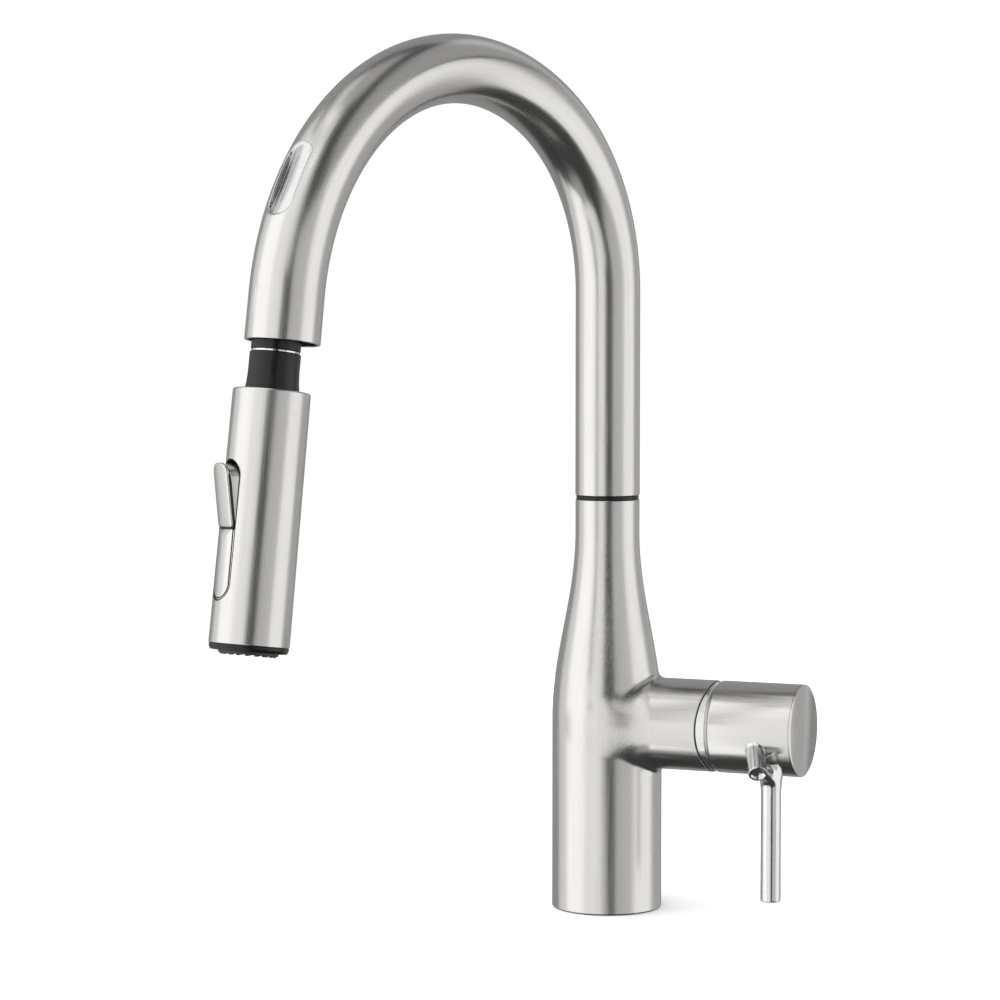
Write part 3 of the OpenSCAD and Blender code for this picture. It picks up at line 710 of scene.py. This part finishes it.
def make_lever():
    rod = rod_shape(rod_radius, ROD_BOTTOM - 1, 74, move(LEVER_X, ROD_Y, 0), sides=40, rings=60)
    boss = rod_shape(lambda z: BOSS_R + 0.2, -18, 0.3, along(BOSS_END, BOSS_AXIS), sides=40)
    web = rod_shape(lambda z: WEB_R + 0.2, -1, 15, along(WEB_TOP, WEB_LOW - WEB_TOP), sides=40)
    points, faces = skin(lever_field, [rod, boss, web], 0.5)
    inside_hub = np.hypot(points[:, 1], points[:, 2] - HUB_Z) < HUB_R - 1.6
    drop = set(np.nonzero(inside_hub)[0].tolist())
    faces = [f for f in faces if not drop & set(f)]
    lever = mesh_object("lever_arm", points, faces, LEVER_STEEL, "handle",
                        ["lever_boss", "lever_rod"])

    def close_off(bm):
        bmesh.ops.delete(bm, geom=[v for v in bm.verts if not v.link_faces], context="VERTS")
        bmesh.ops.holes_fill(bm, edges=[e for e in bm.edges if e.is_boundary])

    outward(lever.data, close_off)
    true_normals(lever, lambda p: gradient(lever_field, p)[0], agree=0.8)


make_lever()


# ---------- gooseneck ----------

ARC1_LEN, ARC2_LEN = ARC1_R * ARC1, ARC2_R * (ARC2 - ARC1)
RISER_LEN = RISER_TOP - RISER_LOW
ARC2_S = RISER_LEN + ARC1_LEN  # how far along the tube the second bend starts
END_S = ARC2_S + ARC2_LEN
SPOUT_LEN = END_S + END_LEN


def centre_line(s):
    """Place in the spout's plane and direction from straight up, s along the tube from its lower end."""
    if s < RISER_LEN:
        return np.array([0, RISER_LOW + s]), 0.0
    s -= RISER_LEN
    for centre, r, start, length in ((ARC1_C, ARC1_R, 0, ARC1_LEN), (ARC2_C, ARC2_R, ARC1, ARC2_LEN)):
        if s < length:
            a = start + s / r
            return centre + r * np.array([-math.cos(a), math.sin(a)]), a
        s -= length
    return ARC2_P + s * END_DIR, ARC2


def tube_radius(s):
    """The tube widens a little towards its end, from partway round the second bend."""
    widening = math.radians(46)
    start = ARC2_S + widening * ARC2_R
    return TUBE_R + (TUBE_END_R - TUBE_R) * ramp_up(s, start, SPOUT_LEN - start)


def swept(stations, sides):
    """Rings of a tube, from (length along, radius) stations: the points, and their places in the grain."""
    angle = circle(sides)
    points, flow = [], []
    for s, r in stations:
        (x, z), a = centre_line(s)
        away = np.array([-math.cos(a), 0, math.sin(a)])
        ring = np.cos(angle)[:, None] * away + np.sin(angle)[:, None] * np.array([0, 1, 0])
        points.append(np.array([x, 0, z]) + r * ring)
        flow.append(np.stack([r * np.cos(angle), r * np.sin(angle), s + 0 * angle], -1))
    return np.vstack(points), np.vstack(flow)


SENSOR_S = ARC2_S + (SENSOR_AT - ARC1) * ARC2_R
RIM_W = 0.45  # from the opening's edge to where the scoop starts


def on_bend(r, u, v):
    """Points on the second bend: r from its centre line, u along the outer face and v across it."""
    a = SENSOR_AT + u / (ARC2_R + r)
    reach = ARC2_R + r * np.cos(v / r)
    return np.stack([ARC2_C[0] - reach * np.cos(a), r * np.sin(v / r), ARC2_C[1] + reach * np.sin(a)], -1)


def stadium_ring(r, inset):
    """A flat oval on the bend's outer face, drawn in by inset from the sensor's opening."""
    flat, outs = stadium(SENSOR_L, SENSOR_W)
    return on_bend(r, *(flat - outs * inset).T)


def make_gooseneck():
    sides, wall, edge = 144, 1.3, 0.35
    stops = [edge, RISER_LEN * 0.5, RISER_LEN]
    stops += list(RISER_LEN + ARC1_LEN * np.linspace(0, 1, 31)[1:])
    stops += list(ARC2_S + ARC2_LEN * np.linspace(0, 1, 91)[1:])
    stops += [SPOUT_LEN - 8, SPOUT_LEN - edge]
    bore_end = TUBE_END_R - wall
    stations = [(s, tube_radius(s)) for s in stops]
    stations += [(SPOUT_LEN - edge + out, TUBE_END_R - inward) for inward, out in edge_arc(edge)]
    stations += [(SPOUT_LEN, bore_end + 0.15), (SPOUT_LEN - 0.15, bore_end)]
    stations += [(s, tube_radius(s) - wall) for s in reversed(stops)]
    stations += [(0.0, TUBE_R - wall), (0.0, TUBE_R - edge)]
    stations += [(edge - out, TUBE_R - inward) for inward, out in reversed(edge_arc(edge)[:-1])]
    points, _ = swept(stations, sides)
    opening = [stadium_ring(r, 0.0) for r in (TUBE_R + 3.0, TUBE_R - 3.4)]  # for the sensor
    faces = grid_faces(len(stations), sides, closed=True)
    tube = mesh_object("gooseneck_shell", placed(points, IN_SPOUT), faces, STEEL, "spout",
                       ["gooseneck_tube"],
                       hole=(placed(np.vstack(opening), IN_SPOUT), bar_faces(2, len(opening[0]))))
    back = np.linalg.inv(np.array(IN_SPOUT))

    def frame_at(p):
        """The direction outwards from the centre line at each point, and the point's place in the grain."""
        x, y, z = placed(p, back).T
        a1 = np.arctan2(z - ARC1_C[1], ARC1_C[0] - x)
        a2 = np.arctan2(z - ARC2_C[1], ARC2_C[0] - x)
        past_end = (np.stack([x, z], -1) - ARC2_P) @ END_DIR
        on_riser, on_end = (z < RISER_TOP) & (x < 40), (past_end > 0) & (x > 150)
        where = [on_riser, on_end, a1 <= ARC1]
        a = np.select(where, [0 * a1, ARC2 + 0 * a1, a1], a2)
        s = np.select(where, [z - RISER_LOW, END_S + past_end, RISER_LEN + a1 * ARC1_R],
                      ARC2_S + (a2 - ARC1) * ARC2_R)
        middle = np.array([centre_line(float(length))[0] for length in s])
        away = np.stack([-np.cos(a), np.sin(a)], -1)
        out = ((np.stack([x, z], -1) - middle) * away).sum(1)
        n = np.stack([out * away[:, 0], y, out * away[:, 1]], -1)
        n /= np.maximum(np.linalg.norm(n, axis=1, keepdims=True), 1e-9)
        return n @ np.array(IN_SPOUT)[:3, :3].T, np.stack([out, y, s], -1)

    true_normals(tube, lambda p: frame_at(p)[0], agree=0.97)
    grain(tube, frame_at(points_of(tube.data))[1])


make_gooseneck()


def ring_mesh(name, rings, material, stands_for):
    """A piece of the spout made of rings of points that follow one another and come round to the first."""
    faces = grid_faces(len(rings), len(rings[0]), closed=True)
    piece = mesh_object(name, placed(np.vstack(rings), IN_SPOUT), faces, material, "spout", stands_for)
    outward(piece.data)


def scoop_ring(tube_r, inset):
    """A ring of the sensor's scoop, which has a steep wall on one side and runs out to the rim elsewhere."""
    flat, outs = stadium(SENSOR_L, SENSOR_W)
    u, v = (flat - outs * inset).T
    floor = 2.6 * (1 - 0.9 * (2 * u / SENSOR_L) ** 2) * (0.6 - 0.8 * v / SENSOR_W)
    wall = min((inset - RIM_W) / 1.2, 1)
    return on_bend(tube_r - 0.3 - floor * wall * wall * (3 - 2 * wall), u, v)


def make_sensor():
    tube_r = tube_radius(SENSOR_S)
    bezel = [stadium_ring(tube_r + drop, inset) for inset, drop in
             ((0.03, -2.6), (0.03, -0.12), (0.08, -0.03), (0.16, 0.0), (0.3, -0.02), (0.38, -0.1), (0.42, -0.3),
              (0.42, -2.6))]
    ring_mesh("sensor_rim", bezel, POLISHED, ["sensor_bezel"])
    insets = list(np.linspace(RIM_W, 1.75, 8)) + list(np.linspace(2.2, SENSOR_W / 2 - 0.12, 8))
    dish = [scoop_ring(tube_r, inset) for inset in insets]
    under = [stadium_ring(tube_r - 3.08, inset) for inset in reversed(insets)]
    ring_mesh("sensor_dish", dish + under, DISH_STEEL, ["sensor_lens"])


make_sensor()


# ---------- pull-out hose ----------

def on_centre_line(s):
    """A point of the tube's centre line in metres, in the CAD model's frame."""
    x, z = centre_line(s)[0]
    return tuple(placed([[x, 0, z]], IN_SPOUT)[0] * MM)


def make_hose():
    """The hose in two pieces: the main one stays in the spout, and the tail, which is on no body, runs on from
    the second bend towards the head.
    """
    sides, low, split_turn = 40, 22.0, math.radians(140)
    split, end = ARC2_S + (split_turn - ARC1) * ARC2_R, SPOUT_LEN + HEAD_GAP - 30
    angle = circle(sides)
    for name, first, last, rings in (("hose_main", 0.0, split, 200), ("hose_tail", split, end, 60)):
        stops = list(np.linspace(first, last, rings))
        points, _ = swept([(s, HOSE_R) for s in stops], sides)
        if name == "hose_main":  # under the spout it runs straight down inside the body
            heights = np.linspace(low, RISER_LOW - 2, 60)
            x, y = -HOSE_R * np.cos(angle), HOSE_R * np.sin(angle)
            points = np.vstack([np.stack([x, y, z + 0 * angle], -1) for z in heights] + [points])
            stops = list(heights - RISER_LOW) + stops
        piece = mesh_object(name, placed(points, IN_SPOUT), bar_faces(len(stops), sides), BRAID, None,
                            smooth=60)
        outward(piece.data)
        grain(piece, np.vstack([np.stack([HOSE_R * angle, s + 0 * angle, 0 * angle], -1) for s in stops]))
        if name == "hose_main":
            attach(piece, "spout")
            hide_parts("pull_hose")
        else:
            on_centre_line(first)
            on_centre_line(last)
            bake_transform(piece)


make_hose()


# ---------- docking collar and what joins hose and head ----------

lathe("collar_sleeve",
      [(6.2, -30, 0), (9.5, -30, 0.3), (10.2, -29.2, 0.3), (10.2, -16.6, 0.15), (9.42, -16.6, 0.1),
       (9.42, -15.3, 0.1), (10.5, -15.3, 0.15), (10.5, -8.0, 0), (10.54, -6.6, 0), (10.62, -5.2, 0),
       (10.72, -3.8, 0), (10.86, -2.4, 0), (11.05, -1.0, 0), (11.1, 4, 0), (6.2, 4, 0)],
      IN_HEAD, BLACK, "hose_end", ["docking_collar"])
lathe("snap_ring", [(9.5, -16.45, 0.1), (10.0, -16.45, 0.25), (10.0, -15.45, 0.25), (9.5, -15.45, 0.1)],
      IN_HEAD, POLISHED, "hose_end", ["collar_snap_ring"])


# ---------- spray head ----------

def shell_radius(s):
    return HEAD_TOP_R + (HEAD_LOW_R - HEAD_TOP_R) * s / HEAD_LEN


def slot_outline(grow):
    """The rocker's slot as points (station down the head, offset across), grown by a margin."""
    flat, outs = stadium(SLOT_LOW - SLOT_TOP, SLOT_W)
    return flat + outs * grow + [(SLOT_TOP + SLOT_LOW) / 2, 0]


def prism(outline, x0, x1):
    """A closed bar with the given outline, from x0 to x1 in the rocker's frame."""
    rows = [np.stack([x + 0 * outline[:, 0], outline[:, 1], outline[:, 0]], -1) for x in (x0, x1)]
    return np.vstack(rows), bar_faces(2, len(outline))


def make_shell():
    sides, wall, top_hole, top_wall = 192, 1.3, 11.7, 2.4
    profile = [(top_hole, 0, 0.2), (HEAD_TOP_R, 0, 0.9)]
    profile += [(shell_radius(s), s, 0) for s in (6, 14, 22, 94, 100)]
    profile += [(HEAD_LOW_R, HEAD_LEN, 0.3), (HEAD_LOW_R - wall, HEAD_LEN, 0.1),
                (shell_radius(60) - wall, 60, 0), (HEAD_TOP_R - wall, top_wall, 0.3), (top_hole, top_wall, 0)]
    ring = rounded(profile, 5)
    _, world = lathe_points(ring, sides, IN_ROCKER)
    slot_points, slot_faces = prism(slot_outline(0), 6, 24)
    shell = mesh_object("head_casing", world, grid_faces(len(ring), sides, closed=True), STEEL, "head",
                        ["head_shell"], smooth=35,
                        hole=(placed(slot_points, IN_ROCKER), slot_faces))
    back = np.linalg.inv(np.array(IN_ROCKER))

    def radial(p):
        n = placed(p, back)
        n[:, 2] = -(HEAD_LOW_R - HEAD_TOP_R) / HEAD_LEN * np.hypot(n[:, 0], n[:, 1])
        return (n / np.linalg.norm(n, axis=1, keepdims=True)) @ np.array(IN_ROCKER)[:3, :3].T

    true_normals(shell, radial, agree=0.999)
    grain(shell, placed(points_of(shell.data), back))


make_shell()
lathe("base_trim", [(13.7, HEAD_LEN, 0.1), (16.2, HEAD_LEN, 0.3), (16.3, HEAD_LEN + 1.2, 0.5),
                    (15.7, HEAD_LEN + 2.6, 0.5), (13.7, HEAD_LEN + 2.8, 0.3)],
      IN_ROCKER, BLACK, "head", ["head_base_ring"])
lathe("spray_plate", [(4.7, 103, 0), (13.45, 103, 0), (13.45, 105.6, 0.3), (12.4, 105.8, 0.1),
                      (12.2, FACE_LOW, 0.5), (4.7, FACE_LOW, 0.4)],
      IN_ROCKER, SPRAY, "head", ["spray_face"])


def make_nozzles():
    """Soft nubs in two rings, each a little cone with a hollow tip."""
    sides, root, tip = 16, 105.5, FACE_LOW + 0.5
    profile = rounded([(0.3, root, 0), (0.8, root, 0), (0.78, FACE_LOW + 0.1, 0.05), (0.66, tip, 0.15),
                       (0.3, tip, 0.05), (0.25, FACE_LOW + 0.2, 0)], 3)
    shapes = []
    for radius, number in ((7.4, 12), (10.8, 18)):
        for a in circle(number):
            _, nub = lathe_points(profile, sides, move(radius * math.cos(a), radius * math.sin(a), 0))
            shapes.append((nub, grid_faces(len(profile), sides, closed=True)))
    points, faces = merged(shapes)
    nubs = mesh_object("nozzle_nubs", placed(points, IN_ROCKER), faces, NUBS, "head",
                       ["spray_nozzles"])
    outward(nubs.data)


make_nozzles()
lathe("aerator_cup", [(0, 101, 0), (4.55, 101, 0.2), (4.55, FACE_LOW, 0.3), (3.9, FACE_LOW, 0.1),
                      (3.9, 106, 0.1), (0, 106, 0)],
      IN_ROCKER, PLAIN, "head", ["aerator"], sides=64)


# ---------- rocker ----------

def pad_outline(s_top, s_low, end_rounds, width, steps=10):
    """A pad's outline, with one rounding for the corners of its top end and one for those of its low end."""
    top_r, low_r = end_rounds
    corners = ((s_low - low_r, 1, low_r), (s_top + top_r, 1, top_r), (s_top + top_r, -1, top_r),
               (s_low - low_r, -1, low_r))
    points = []
    for quarter, (s, side, r) in enumerate(corners):
        for a in np.radians(90 * (quarter + np.arange(steps + 1) / steps)):
            points.append((s + r * math.cos(a), side * (width / 2 - r) + r * math.sin(a)))
    return np.array(points)


def pad_mesh(name, outline, surface, depth, bevel, matrix, material, stands_for):
    """A pad with a curved face: rings of its outline drawn in by a bevel, capped by shrinking rings."""
    centre = outline.mean(0)
    count = len(outline)
    step = np.roll(outline, -1, 0) - np.roll(outline, 1, 0)
    out = np.stack([step[:, 1], -step[:, 0]], -1)
    out /= np.maximum(np.linalg.norm(out, axis=1, keepdims=True), 1e-9)
    if ((outline - centre) * out).sum() < 0:
        out = -out
    rings = []

    def ring(inset, drop):
        flat = outline - out * inset
        rings.append(np.stack([surface(flat[:, 1]) - drop, flat[:, 1], flat[:, 0]], -1))

    for d in np.linspace(depth, bevel, 4):
        ring(0, d)
    for inset, rise in edge_arc(bevel):
        ring(inset, bevel - rise)
    inner = outline - out * bevel
    spine_half = (outline[:, 0].max() - outline[:, 0].min()) / 2
    width = outline[:, 1].max()
    spine = np.stack([np.clip(inner[:, 0], centre[0] - spine_half + width, centre[0] + spine_half - width),
                      0 * inner[:, 1]], -1)
    for t in np.linspace(0.12, 1, 9):
        flat = inner * (1 - t) + spine * t
        rings.append(np.stack([surface(flat[:, 1]), flat[:, 1], flat[:, 0]], -1))
    faces = grid_faces(len(rings), count) + [tuple(reversed(range(count)))]
    piece = mesh_object(name, placed(np.vstack(rings), matrix), faces, material, "rocker", stands_for)
    outward(piece.data, lambda bm: bmesh.ops.remove_doubles(bm, verts=bm.verts, dist=1e-6))
    grain(piece, placed(points_of(piece.data), matrix.inverted()))


def pad_face(y):
    """The lower cap's round face."""
    return np.sqrt(ROCKER_R ** 2 - y ** 2)


def cap_face(y):
    """The upper cap's flatter face, which meets the lower pad's height at its middle."""
    return ROCKER_R + np.sqrt(CAP_FACE_R ** 2 - y ** 2) - CAP_FACE_R


TILT = IN_ROCKER @ move(ROCKER_R, 0, CREASE) @ turned("Y", -ROCKER_DEG) @ move(-ROCKER_R, 0, -CREASE)
CAP_W, SHADE_LINE_W, STRIP_W, CAP_FACE_R = 11.7, 12.5, 13.3, 30.0


def pad_stack(which, matrix, face, s_top, s_low, ends, deep):
    """One half of the rocker: a cap, a dark line round it that is painted shade of the gap round the cap, and
    the strip of the rocker's body that shows. The layers under the upper cap are shorter than it, as they swing
    into the slot."""
    for name, width, drop, depth, bevel, material, slot, stands_for in (
            ("cap", CAP_W, 0, 1.1, 0.4, PAD_STEEL, "brushed_nickel", ["rocker_%s_pad" % which]),
            # the line: a black layer just under the cap's edge, painted shade of the gap round the cap
            ("line", SHADE_LINE_W, min(0.75, deep - 0.1), 1.0, 0.03, BLACK, "black_plastic", []),
            ("strip", STRIP_W, deep, 5.0, 0.12, PAD_STEEL, "brushed_nickel", [])):
        grow = (width - CAP_W) / 2
        rounds = [e + grow if e > 2 else e for e in ends]
        reach = [grow if e > 2 else 0.45 * (name == "line") for e in ends]
        if which == "upper" and grow:
            rounds[0], reach[0] = width / 2 - 0.05, -grow
        outline = pad_outline(s_top - reach[0], s_low + reach[1], rounds, width)
        pad_mesh("%s_%s" % (which, name), outline, lambda y, drop=drop: face(y) - drop, depth, bevel, matrix,
                 material, stands_for)


def make_rocker():
    pad_stack("lower", IN_ROCKER, pad_face, CREASE + 0.35, SLOT_LOW - 1.35, (0.8, CAP_W / 2 - 0.01), 0.25)
    pad_stack("upper", TILT, cap_face, SLOT_TOP + 1.9, CREASE - 0.3, (4.6, 1.0), 1.5)
    # painted shade: a dark ring just under the shell's surface round the slot, standing in for the shadow in
    # the gap between the rocker and the shell
    rows = []
    for inset, drop in ((0.02, 0.08), (0.48, 0.08), (0.48, 4.0), (0.02, 4.0)):
        outline = slot_outline(-inset)
        rows.append(np.stack([np.sqrt(shell_radius(outline[:, 0]) ** 2 - outline[:, 1] ** 2) - drop,
                              outline[:, 1], outline[:, 0]], -1))
    shade_ring = mesh_object("slot_painted_shade", placed(np.vstack(rows), IN_ROCKER),
                         grid_faces(4, len(rows[0]), closed=True), RUBBER, "head")
    outward(shade_ring.data)


make_rocker()


# ---------- floor, light and camera ----------

CAMERA_TURN, CAMERA_DIP = 23.1, 3.5
AIM = Vector((-0.02, -0.1, 0.2))  # what the lights point at, in metres


def soft_box(name, width, height, place, brightness):
    """An area light that has the given brightness in a mirror."""
    data = bpy.data.lights.new(name, "AREA")
    data.shape, data.size, data.size_y = "RECTANGLE", width, height
    data.energy = brightness * math.pi * width * height
    lamp = in_scene(name, data)
    lamp.visible_camera = False
    lamp.location = place
    lamp.rotation_euler = (AIM - place).to_track_quat("-Z", "Y").to_euler()


def panel(name, azimuths, elevations, brightness, distance=3.0):
    """A soft box that fills a range of directions round the object. Azimuth is measured to the right from the
    camera's side, in degrees."""
    a = math.radians(CAMERA_TURN + sum(azimuths) / 2)
    e = math.radians(sum(elevations) / 2)
    width = 2 * distance * math.cos(e) * math.tan(math.radians(azimuths[1] - azimuths[0]) / 2)
    height = 2 * distance * math.tan(math.radians(elevations[1] - elevations[0]) / 2)
    way = Vector((math.sin(a) * math.cos(e), -math.cos(a) * math.cos(e), math.sin(e)))
    soft_box(name, width, height, AIM + distance * way, brightness)


def make_floor():
    """A plain pale disc."""
    radius, sides = 900.0, 128
    angle = circle(sides)
    points = np.stack([radius * np.cos(angle), radius * np.sin(angle), -0.05 + 0 * angle], -1)
    mesh = mesh_from("floor", points, [range(sides)])
    n = Nodes("floor_paint", Roughness=0.5, Specular_IOR_Level=0.0)
    soft = n.noise(n.place(), 3.0, 2.0)
    n.into("Base Color", n.mix(soft, (0.87, 0.87, 0.87), (0.89, 0.89, 0.89)))
    mesh.materials.append(n.material)
    floor = in_scene("floor", mesh)
    floor.visible_glossy = False


def make_world():
    """White behind the object and for plain surfaces, and a dim even room for what metal mirrors."""
    world = bpy.data.worlds.new("studio")
    bpy.context.scene.world = world
    world.use_nodes = True
    tree = world.node_tree
    background = tree.nodes["Background"]
    path = tree.nodes.new("ShaderNodeLightPath")
    strength = tree.nodes.new("ShaderNodeMapRange")
    tree.links.new(path.outputs["Is Glossy Ray"], strength.inputs["Value"])
    seen, mirrored = 1.05, 0.06
    strength.inputs["To Min"].default_value, strength.inputs["To Max"].default_value = seen, mirrored
    background.inputs["Color"].default_value = (1, 1, 1, 1)
    tree.links.new(strength.outputs["Result"], background.inputs["Strength"])


def make_camera():
    height, distance, off_left = 190.4, 1395.3, 50.0
    turn, dip = math.radians(CAMERA_TURN), math.radians(CAMERA_DIP)
    forward = np.array([-math.sin(turn) * math.cos(dip), math.cos(turn) * math.cos(dip), -math.sin(dip)])
    right = np.array([math.cos(turn), math.sin(turn), 0])
    data = bpy.data.cameras.new("camera")
    data.lens, data.sensor_width = 108.0, 36.0
    data.clip_start, data.clip_end = 0.05, 20.0
    camera = in_scene("camera", data)
    camera.location = (np.array([0, 0, height]) - distance * forward - off_left * right) * MM
    camera.rotation_euler = (math.pi / 2 - dip, 0, turn)
    bpy.context.scene.camera = camera


make_floor()
make_world()
make_camera()
for box in (  # name, azimuths, elevations, brightness
        ("left_box", (-98, -50), (-58, 61), 1.45),
        ("left_front", (-50, -10), (-52, 62), 1.1),
        ("left_edge", (-126, -98), (-50, 58), 0.85),
        ("top_left", (-85, 4), (62, 80), 0.9),
        ("high_left", (-150, -88), (60, 80), 0.45),
        ("top_front", (-10, 6), (20, 62), 0.8),
        ("right_front", (16, 58), (-30, 30), 0.62),
        ("front_low", (-10, -1), (-46, -11), 0.95),
        ("right_box", (58, 106), (-38, 26), 1.2),
        ("right_high", (50, 150), (30, 62), 0.38),
        ("right_edge", (106, 145), (-30, 26), 0.44),
        ("behind", (140, 232), (-45, 60), 0.3),
        ("low_left", (-70, -10), (-72, -54), 0.4)):
    panel(*box)
soft_box("overhead", 1.7, 1.7, Vector((-0.1, 0.05, 3.2)), 0.42)
bpy.context.scene.view_settings.view_transform = "Standard"
